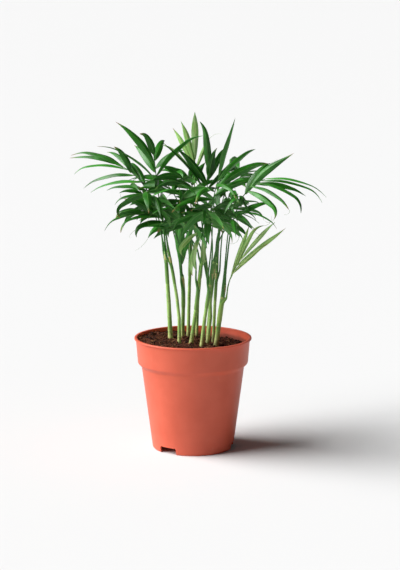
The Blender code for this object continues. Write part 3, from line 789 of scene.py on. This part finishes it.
def scattered(count, seed, add_one):
    """Pieces spread over the soil, each with its own tone. The noise is seeded too."""
    noise.seed_set(seed)
    rng = random.Random(seed)
    bm = bmesh.new()
    tone = bm.verts.layers.float.new("tone")
    for _ in range(count):
        add_one(bm, tone, rng, *somewhere(rng))
    return bm


# how many, the seed, and what adds one
LITTER = {
    "soil_crumbs": (1100, 11, add_crumb),
    "bark_chips": (46, 12, add_chip),
    "coir_fibres": (190, 13, add_fibre),
}
for name, sort in LITTER.items():
    finished(name, scattered(*sort), [LITTER_FINISH], "potting_soil")


# %% [markdown]
# ## Canes
#
# A young palm's cane is slim and jointed like bamboo: at each joint an old leaf let go and left
# a thin raised ring. The cane is palest at the soil, where it never saw the sun, and swells a
# little there. It is grown ring by ring along the frame's middle line, with more rings near
# each joint.

# %% Growing the canes
CANE_SIDES = 12
CANE_STEP = 2.5 * MM
JOINT_SHAPE = ((-0.9 * MM, 0.0), (-0.35 * MM, 0.7), (0.0, 1.0), (0.35 * MM, 0.45), (0.9 * MM, 0.0))
JOINT_ROOM = 1.5 * MM
JOINT_SWELL = 0.07
FLARE = 0.22
FLARE_HEIGHT = 7 * MM
FIRST_JOINT = (6, 12)
JOINT_GAPS = (12, 19)
GAP_GROWTH = 0.2


def joints_of(palm, low, high):
    """The heights of a cane's joints: close together low down, and wider higher up."""
    rng = random.Random(palm)
    heights = []
    height = low + rng.uniform(*FIRST_JOINT) * MM
    while height < high:
        heights.append(height)
        height += rng.uniform(*JOINT_GAPS) * MM + (height - low) * GAP_GROWTH
    return heights


def make_cane(palm, stem):
    """A tube along the stem, with a raised ring at each joint."""
    low, high = stem.line[0].z, stem.line[-1].z
    ground = soil_height(stem.line[0].x, stem.line[0].y)
    joints = joints_of(palm, ground, high - JOINT_ROOM)
    rings = {joint + offset: share for joint in joints for offset, share in JOINT_SHAPE}
    steps = round((high - low) / CANE_STEP)
    for height in (low + (high - low) * index / steps for index in range(steps + 1)):
        if all(abs(height - joint) > JOINT_ROOM for joint in joints):
            rings[height] = 0.0
    bm = bmesh.new()
    joint_layer = bm.verts.layers.float.new("joint")
    line, radii, shares = [], [], []
    for height, share in sorted(rings.items()):
        centre, radius = at_height(stem, height)
        flare = FLARE * max(0.0, 1 - abs(height - ground) / FLARE_HEIGHT) ** 2
        line.append(centre)
        radii.append(radius * (1 + flare + JOINT_SWELL * share))
        shares.append(share)
    grow_tube(bm, line, radii, Vector((0, 1, 0)), CANE_SIDES, mark=(joint_layer, shares))
    return bm


def make_cane_finish():
    """Green and streaked, pale and a little rusty at the soil, with soil on its foot."""
    finish = Finish("palm cane", {"Specular IOR Level": 0.45})
    height = finish.parts_of(finish.place)[2]
    streaks = finish.noise(0.0008, 4, 0.6, squeeze=(1, 1, 0.06))
    blotches = finish.noise(0.011, 4, squeeze=(1, 1, 0.5))
    green = blotches.rise(0.35, 0.65).mix(paint(100, 148, 60), paint(150, 184, 98))
    green = (streaks.rise(0.5, 0.72) * 0.55).mix(green, paint(176, 188, 128))
    ragged = height + (blotches - 0.5) * (14 * MM)
    pale = ragged.fall(TOP - 3 * MM, TOP + 10 * MM)
    colour = (pale * 0.65).mix(green, paint(192, 192, 124))
    rust = finish.noise(0.006, 5).rise(0.58, 0.70)
    colour = (rust * pale * 0.7).mix(colour, paint(140, 92, 56))
    joint = finish.attribute("joint")
    colour = (joint.rise(0.3, 0.9) * 0.45).mix(colour, paint(186, 178, 122))
    soiled = ragged.fall(TOP - 8 * MM, TOP - 2 * MM)
    finish.shade("Base Color", (soiled * 0.6).mix(colour, paint(84, 56, 38)))
    finish.shade("Roughness", 0.42 + streaks * 0.18 + joint * 0.2)
    finish.bump(streaks + joint * 0.4, 0.00015, 0.7)
    return finish.material


CANE_FINISH = make_cane_finish()
for palm, stem in STEMS.items():
    cane = make_cane(palm, stem)
    finished(f"{palm}_cane", cane, [CANE_FINISH], "palm_stem", [f"{palm}_stem"])
SOIL_BODY.free()


# %% [markdown]
# ## Leaflets
#
# A parlour palm's leaflet is a long thin blade, folded like a low roof along its midrib, with
# finer veins beside it. It narrows to a short foot on the stalk and to a long fine tip, which
# sags and curls as it dries. On the side away from the light, more of the leaflets are narrow.
# Each is a flat grid bent onto the middle line read from the frame, then given a thickness,
# because a real leaf's edge catches the light and its two sides have different colours.

# %% The shape of a leaflet
ACROSS = 4
STRETCH_STEPS = 5
BELLY = 0.36
YOUNG_BELLY = 0.58
FOOT_SHARE = 0.2
FOOT_POWER = 0.85
TIP_HALF = 0.10 * MM
ON_MIDRIB = 0.0001
BLADE_THICKNESS = 0.30 * MM
INTO_STALK = 0.7 * MM
ROOF_POWER = 1.25
LOOSE_REACH = 90 * MM
SHADE_REACH = 60 * MM
SHADE_NARROWS = 0.5
OPENED_HALF = 3 * MM
CROWDED_HALF = 4.05 * MM
BREADTHS = (1.0, 1.24)
NEWEST = 1.4
YOUNG = 0.82
CROWDED = 0.08
TAPERS = (0.7, 1.25)
MIDRIB_CREASE = 0.55
EXTRA_FOLDS = (0.05, 0.4)
CURL = (0.25, 0.2)
CURLIER = 0.12
EXTRA_CURL = (0.5, 1.1)
SWING = 0.15
STRAY_TURN = 0.25
STRAY_LIFT = 0.22
TWIST = 0.35
RIPPLE = 0.05
RIPPLES = 2.5


def blade_share(gone, belly, taper):
    """How wide a leaflet is, as a share of its widest, at a share of its length."""
    if gone < belly:
        return FOOT_SHARE + (1 - FOOT_SHARE) * math.sin(math.pi / 2 * gone / belly) ** FOOT_POWER
    return math.cos(math.pi / 2 * (gone - belly) / (1 - belly)) ** taper


def sagged(line, rng):
    """The line with its last part bent down and sideways a little, like a drying tip."""
    start = 2 * STRETCH_STEPS
    curl = rng.gauss(*CURL) + (rng.random() < CURLIER) * rng.uniform(*EXTRA_CURL)
    swing = rng.gauss(0.0, SWING)
    side = (line[start] - line[0]).cross(UP).normalized()
    bent = line[:start + 1]
    for index in range(start, len(line) - 1):
        share = (index + 1 - start) / (len(line) - 1 - start)
        turn = Matrix.Rotation(-curl * share, 3, side) @ Matrix.Rotation(swing * share, 3, "Z")
        bent.append(bent[-1] + turn @ (line[index + 1] - line[index]))
    return bent


def add_leaflet(bm, leaflet, rng, breadth, belly):
    """A grid, bent onto the leaflet's line and folded along its midrib."""
    inwards = (leaflet.root - leaflet.middles[0]).normalized() * INTO_STALK
    line = sagged(smooth_line([leaflet.root + inwards, *leaflet.middles, leaflet.tip], STRETCH_STEPS), rng)
    crowded = leaflet.half > CROWDED_HALF
    loose = max(0.0, 1 - abs(leaflet.tip.x) / LOOSE_REACH) * crowded
    stray = Quaternion(UP, rng.gauss(0, STRAY_TURN) * loose) @ Quaternion(
        (leaflet.tip - leaflet.root).cross(UP).normalized(), rng.gauss(0, STRAY_LIFT) * loose
    )
    line = [line[0] + stray @ (point - line[0]) for point in line]
    widest = leaflet.half * breadth * rng.uniform(*BREADTHS) * (1 - CROWDED * loose)
    lying = 1 - max(0.0, (leaflet.tip - leaflet.root).normalized().z)
    shaded = min(1.0, max(0.0, leaflet.tip.x / SHADE_REACH)) * lying * (leaflet.half > OPENED_HALF)
    widest *= 1 - shaded * rng.uniform(0.0, SHADE_NARROWS)
    fold = leaflet.arch + rng.uniform(*EXTRA_FOLDS)
    taper = rng.uniform(*TAPERS)
    rows = len(line) - 1
    gone = distances(line)
    ways = directions(line)
    twist = rng.gauss(0.0, TWIST)
    wave = rng.uniform(0, math.tau)
    sheet = bmesh.ops.create_grid(bm, x_segments=ACROSS, y_segments=rows, size=0.5, calc_uvs=True)
    crease = bm.edges.layers.float["crease_edge"]
    for edge in {edge for vert in sheet["verts"] for edge in vert.link_edges}:
        edge[crease] = MIDRIB_CREASE * all(abs(vert.co.x) < ON_MIDRIB for vert in edge.verts)
    for vert in sheet["verts"]:
        row = round((vert.co.y + 0.5) * rows)
        share = gone[row] / gone[-1]
        off = 2 * vert.co.x
        half = max(TIP_HALF, widest * blade_share(share, belly, taper))
        across = ways[row].cross(leaflet.ups[0].lerp(leaflet.ups[1], share)).normalized()
        across.rotate(Quaternion(ways[row], twist * share))
        up = across.cross(ways[row])
        roof = fold * (1 - abs(off) ** ROOF_POWER)
        ripple = RIPPLE * abs(off) * math.sin(math.tau * RIPPLES * share + wave + off)
        vert.co = line[row] + across * off * half + up * half * (roof + ripple)
    return sheet["verts"], line


print("a leaflet is", ACROSS * 3 * STRETCH_STEPS, "faces before it gets its thickness")

# %% [markdown]
# ## Stalks and sheaths
#
# Each frond's stalk starts as a sheath: a green tube wrapped round the cane, left from when the
# leaf was a bud inside the one before. It opens on one side, and its dry brown lip stays round
# the cane. The stalk goes on as a slim rod, grooved along its top, that thins to a thread at
# the last leaflets. One tube makes all of it, from the cane's middle line to the frond's end.

# %% The shape of a stalk
STALK_SIDES = 10
SHEATH_RINGS = 6
SHEATH_SKIN = 0.16 * MM
SHEATH_LENGTH = (17 * MM, 27 * MM)
PETIOLE_RADIUS = 1.05 * MM
RACHIS_RADIUS = 0.38 * MM
GROOVE = 0.30
SHEATH_TUCK = 1.5 * MM
SHEATH_MOUTH = 0.07
LIP = (
    (-2.5 * MM, 0.0), (-1.5 * MM, 0.3 * MM), (1.5 * MM, 0.34 * MM),
    (4.0 * MM, 0.26 * MM), (5.2 * MM, 0.12 * MM),
)
THREAD_STEPS = 9
THREAD_SHARE = 0.1
THREAD_RADIUS = 0.2 * MM
THREAD_STEP = (1.0 * MM, 2.4 * MM)
THREAD_CURL = (0.05, 0.3)
THREAD_RISE = 0.3
THREAD_SIDES = 5


def add_lip(bm, layer, stem, height):
    """The sheath's dry mouth, which clasps the cane above the place where the stalk leaves."""
    rings = [at_height(stem, height + offset) for offset, _ in LIP]
    line = [centre for centre, _ in rings]
    radii = [radius + skin for (_, radius), (_, skin) in zip(rings, LIP)]
    grow_tube(bm, line, radii, Vector((0, 1, 0)), STALK_SIDES, mark=(layer, [0.0] * len(line)))


def add_thread(bm, layer, tip, rng):
    """A dry thread, which curls away from the end of a leaflet."""
    heading = (tip[-1] - tip[-2]).normalized()
    side = heading.cross(Vector((rng.gauss(0, 1), rng.gauss(0, 1), rng.gauss(0, 1)))).normalized()
    turn = Quaternion(side, rng.uniform(*THREAD_CURL))
    step = rng.uniform(*THREAD_STEP)
    line = [tip[-1] - heading * MM]
    for _ in range(THREAD_STEPS):
        line.append(line[-1] + heading * step)
        heading.rotate(turn)
    radii = [THREAD_RADIUS * (1 - 0.7 * index / THREAD_STEPS) for index in range(len(line))]
    grow_tube(bm, line, radii, side, THREAD_SIDES, mark=(layer, [THREAD_RISE] * len(line)))


def add_stalk(bm, layer, frond, stem, place_in_palm, rng):
    """A tube that leaves the cane's middle line for the frond's."""
    foot = frond.stalk[0]
    top = min(foot.z, stem.line[-1].z) - SHEATH_TUCK
    length = rng.uniform(*SHEATH_LENGTH)
    skin = SHEATH_SKIN * (1 + place_in_palm)
    line, radii = [], []
    for ring in range(SHEATH_RINGS):
        share = ring / (SHEATH_RINGS - 1)
        centre, radius = at_height(stem, top - length * (1 - share))
        line.append(centre)
        radii.append(radius + skin * min(1.0, 0.2 + share * 4))
    blade = smooth_line(frond.stalk, 3)
    gone = distances(blade)
    for index in range(1, len(blade)):
        share = gone[index] / gone[-1]
        thinning = PETIOLE_RADIUS + (RACHIS_RADIUS - PETIOLE_RADIUS) * share ** 0.8
        bulge = (radii[SHEATH_RINGS - 1] - PETIOLE_RADIUS) * max(0.0, 1 - share / SHEATH_MOUTH) ** 1.5
        line.append(blade[index])
        radii.append(thinning + max(0.0, bulge))
    spread = frond.stalk[-1] - stem.line[-1]
    side = Vector((-spread.y, spread.x, 0)).normalized()
    rise = [min(1.0, index / (SHEATH_RINGS + 4)) for index in range(len(line))]

    def grooved(angle, index):
        return 1 - GROOVE * max(0.0, -math.sin(angle)) ** 6 * (index > SHEATH_RINGS + 2)

    grow_tube(bm, line, radii, side, STALK_SIDES, grooved, (layer, rise))
    if foot.z < stem.line[-1].z - LIP[-1][0]:
        add_lip(bm, layer, stem, top + LIP[-1][0] / 2)


print("a stalk's tube has", STALK_SIDES, "sides")

# %% [markdown]
# ## The fronds' finishes
#
# A leaf's colour isn't even: the midrib is a pale line, the veins are faint stripes,
# the foot of the blade is yellower, and the tip of an old leaflet dries to straw. The upper
# side is waxy and shines blue-white where it faces the sky, and the underside is dull and
# pale. Light also comes through a leaf, which makes it glow yellow-green from behind. Younger
# fronds have the same pattern in lighter colours.

# %% Leaf, stalk and sheath materials
LEAF_VEINS = 7
MARGIN = paint(120, 142, 70)
YELLOWED = paint(150, 156, 72)
BROWNED = paint(150, 112, 66)
SHEATH_EDGE = paint(178, 158, 104)


def make_leaf_finish(name, dark, light, rib, through, shine, stripes=0.22, rib_reach=0.09):
    """One side of a leaflet: its colours, its shine, and how strong its stripes and rib are."""
    finish = Finish(name, {"Specular IOR Level": 0.3, "Coat Roughness": 0.25})
    across, along = finish.uv()
    off = abs(across - 0.5) * 2
    blotches = finish.noise(0.016, 4).rise(0.3, 0.7)
    colour = (finish.attribute("tone") * 0.7 + blotches * 0.5 - 0.1).mix(dark, light)
    veins = (off * (math.pi * LEAF_VEINS)).sine() * 0.5 + 0.5
    colour = (veins.rise(0.4, 0.9) * stripes).mix(colour, rib)
    colour = (along.fall(0.0, 0.16) * 0.6).mix(colour, rib)
    colour = (off.fall(0.02, rib_reach) * along.fall(0.6, 1.0) * 0.75).mix(colour, rib)
    colour = (off.rise(0.93, 1.0) * 0.3).mix(colour, MARGIN)
    ragged = along + (finish.noise(0.003, 4) - 0.5) * 0.12
    dry = finish.attribute("dry").rise(0.3, 0.5)
    browned = ragged.rise(0.90, 0.95) * dry
    colour = (ragged.rise(0.76, 0.95) * dry * 0.6).mix(colour, YELLOWED)
    finish.shade("Base Color", browned.mix(colour, BROWNED))
    wax = finish.noise(0.005, 4)
    finish.shade("Roughness", 0.62 - shine * 0.32 + wax * 0.12 + browned * 0.25)
    finish.shade("Coat Weight", (1 - browned) * (shine * 0.3))
    finish.bump(veins * 0.6 + off.fall(0.0, 0.1) + wax * 0.4, 0.00018, 0.6)
    finish.let_light_through(through, 0.2)
    return finish.material


def make_stalk_finish(name, green, pale):
    """Pale where the sheath clasps the cane, and greener towards the frond's end."""
    finish = Finish(name, {"Specular IOR Level": 0.45})
    rise = finish.attribute("rise")
    streaks = finish.noise(0.0009, 4, 0.6, squeeze=(1, 1, 0.12))
    colour = (rise.fall(0.0, 0.75) * 0.8 + (streaks - 0.5) * 0.5).mix(green, pale)
    finish.shade("Base Color", (rise.fall(0.0, 0.05) * 0.6).mix(colour, SHEATH_EDGE))
    finish.shade("Roughness", 0.4 + streaks * 0.2)
    finish.bump(streaks, 0.00012, 0.6)
    return finish.material


GLOW, YOUNG_GLOW = paint(60, 170, 14), paint(130, 210, 60)
UPPER = (paint(2, 70, 1), paint(56, 148, 36), paint(106, 168, 74), GLOW)
UNDER = (paint(26, 96, 18), paint(66, 136, 52), paint(112, 160, 84), GLOW)
YOUNG_UPPER = (paint(62, 112, 6), paint(146, 216, 112), paint(216, 234, 152), YOUNG_GLOW)
YOUNG_UNDER = (paint(92, 142, 44), paint(166, 218, 142), paint(218, 236, 170), YOUNG_GLOW)
LEAF_FINISHES = {
    "palm_leaf": [
        make_leaf_finish("leaf upper", *UPPER, shine=1.0),
        make_leaf_finish("leaf underside", *UNDER, shine=0.4),
        make_stalk_finish("leaf stalk", paint(34, 98, 20), paint(120, 158, 74)),
    ],
    "young_palm_leaf": [
        make_leaf_finish("young leaf upper", *YOUNG_UPPER, shine=0.5, stripes=0.6, rib_reach=0.34),
        make_leaf_finish("young leaf underside", *YOUNG_UNDER, shine=0.3, stripes=0.6, rib_reach=0.34),
        make_stalk_finish("young leaf stalk", paint(96, 146, 48), paint(158, 186, 98)),
    ],
}
SLOT_OF = {part["node"]: part["material_slot"] for part in frame["record"]["subparts"]}

# %% Growing the fronds
UNDER_SIDE, STALK = 1, 2
FROND_TONES = (0.15, 0.65)
FRESH_TONE = 0.85
TONE_SPREAD = 0.28
STILL_FOLDED = 0.5


def make_frond(name, frond, stem, place_in_palm, slot):
    """The leaflets with their two sides, then the stalk and the threads.

    The newest frond of a palm may still be closed. Its lower leaflets are the most folded.
    """
    rng = random.Random(name)
    opened = max(leaflet.half for leaflet in frond.leaflets) > OPENED_HALF
    newest = frond.stalk[0].z > stem.line[-1].z
    closed = newest and not opened
    breadth = 1.0 if opened else NEWEST if newest else YOUNG
    belly = BELLY if slot == "palm_leaf" else YOUNG_BELLY
    tips = []
    bm = bmesh.new()
    bm.loops.layers.uv.new("UVMap")
    bm.edges.layers.float.new("crease_edge")
    tone, dry, rise = (bm.verts.layers.float.new(layer) for layer in ("tone", "dry", "rise"))
    usual_tone = rng.uniform(*FROND_TONES)
    frond_tone = FRESH_TONE if closed else usual_tone
    tips_up = [leaflet.tip.z for leaflet in frond.leaflets]
    for leaflet in frond.leaflets:
        unfolded = (leaflet.tip.z - min(tips_up)) / (max(tips_up) - min(tips_up))
        opening = 1 - STILL_FOLDED * closed * (1 - unfolded)
        leaflet_tone = min(1.0, max(0.0, frond_tone + rng.gauss(0, TONE_SPREAD)))
        leaflet_dry = rng.random() ** 2
        verts, line = add_leaflet(bm, leaflet, rng, breadth * opening, belly)
        tips.append(line[-2:])
        for vert in verts:
            vert[tone] = leaflet_tone
            vert[dry] = leaflet_dry
    tops = set(bm.verts)
    bmesh.ops.solidify(bm, geom=bm.faces[:], thickness=BLADE_THICKNESS)
    for face in bm.faces:
        if not tops & set(face.verts):
            face.material_index = UNDER_SIDE
    blades = set(bm.faces)
    add_stalk(bm, rise, frond, stem, place_in_palm, rng)
    for tip in tips:
        if rng.random() < THREAD_SHARE:
            add_thread(bm, rise, tip, rng)
    for face in set(bm.faces) - blades:
        face.material_index = STALK
    return bm


for palm, stem in STEMS.items():
    own = sorted((n for n in FRONDS if n.startswith(palm)), key=lambda n: -SHAPES[n].stalk[0].z)
    for place_in_palm, name in enumerate(own):
        slot = SLOT_OF[name]
        leaf = make_frond(name, SHAPES[name], stem, place_in_palm, slot)
        finished(f"{name}_leaf", leaf, LEAF_FINISHES[slot], slot, [name], levels=1)


# %% [markdown]
# ## The stage
#
# A plain pale floor, one large soft lamp from the left, and a dimmer light from all round, as
# pale walls give: brightest at the horizon and dim overhead. The camera is a long lens from a
# little above, so that the rim is seen as a flat ellipse.

# %% Floor, light and camera
FLOOR_SIZE = 40.0
CAMERA_PLACE = (0.00722, -1.8, 0.4848)
CAMERA_DIP = math.radians(9.96)
CAMERA_LENS = 113.36
WALL_BRIGHT = 0.5
WALL_DIM = 0.045
WALL_TOP = 0.3
LAMP_POWER = 6.6
LAMP_BREADTH = math.radians(58)
LAMP_TURN = (math.radians(54), 0, math.radians(-87))
FLOOR_FINISH = {"Base Color": paint(224, 224, 224), "Roughness": 0.9, "Specular IOR Level": 0.1}

plane = bmesh.new()
bmesh.ops.create_grid(plane, x_segments=1, y_segments=1, size=FLOOR_SIZE)
floor = in_scene("floor", plane)
floor.data.materials.append(Finish("pale floor", FLOOR_FINISH).material)

sun = bpy.data.lights.new("soft key", "SUN")
sun.energy = LAMP_POWER
sun.angle = LAMP_BREADTH
in_scene("soft key", sun).rotation_euler = LAMP_TURN


class Sky(Finish):
    """A world under construction, in place of a material."""

    def __init__(self, name):
        self.world = bpy.data.worlds.new(name)
        self.world.use_nodes = True
        self.tree = self.world.node_tree
        self.shader = self.tree.nodes["Background"]


sky = Sky("studio walls")
height = sky.parts_of(sky.add("TexCoord", {}, {}, "Generated"))[2]
overhead, horizon = [(grey, grey, grey, 1.0) for grey in (WALL_DIM, WALL_DIM + WALL_BRIGHT)]
sky.shade("Color", height.fall(0.0, WALL_TOP).mix(overhead, horizon))
bpy.context.scene.world = sky.world

lens = bpy.data.cameras.new("camera")
lens.lens = CAMERA_LENS
camera = in_scene("camera", lens)
camera.location = CAMERA_PLACE
camera.rotation_euler = (math.radians(90) - CAMERA_DIP, 0, 0)
bpy.context.scene.camera = camera
bpy.context.scene.view_settings.view_transform = "Standard"
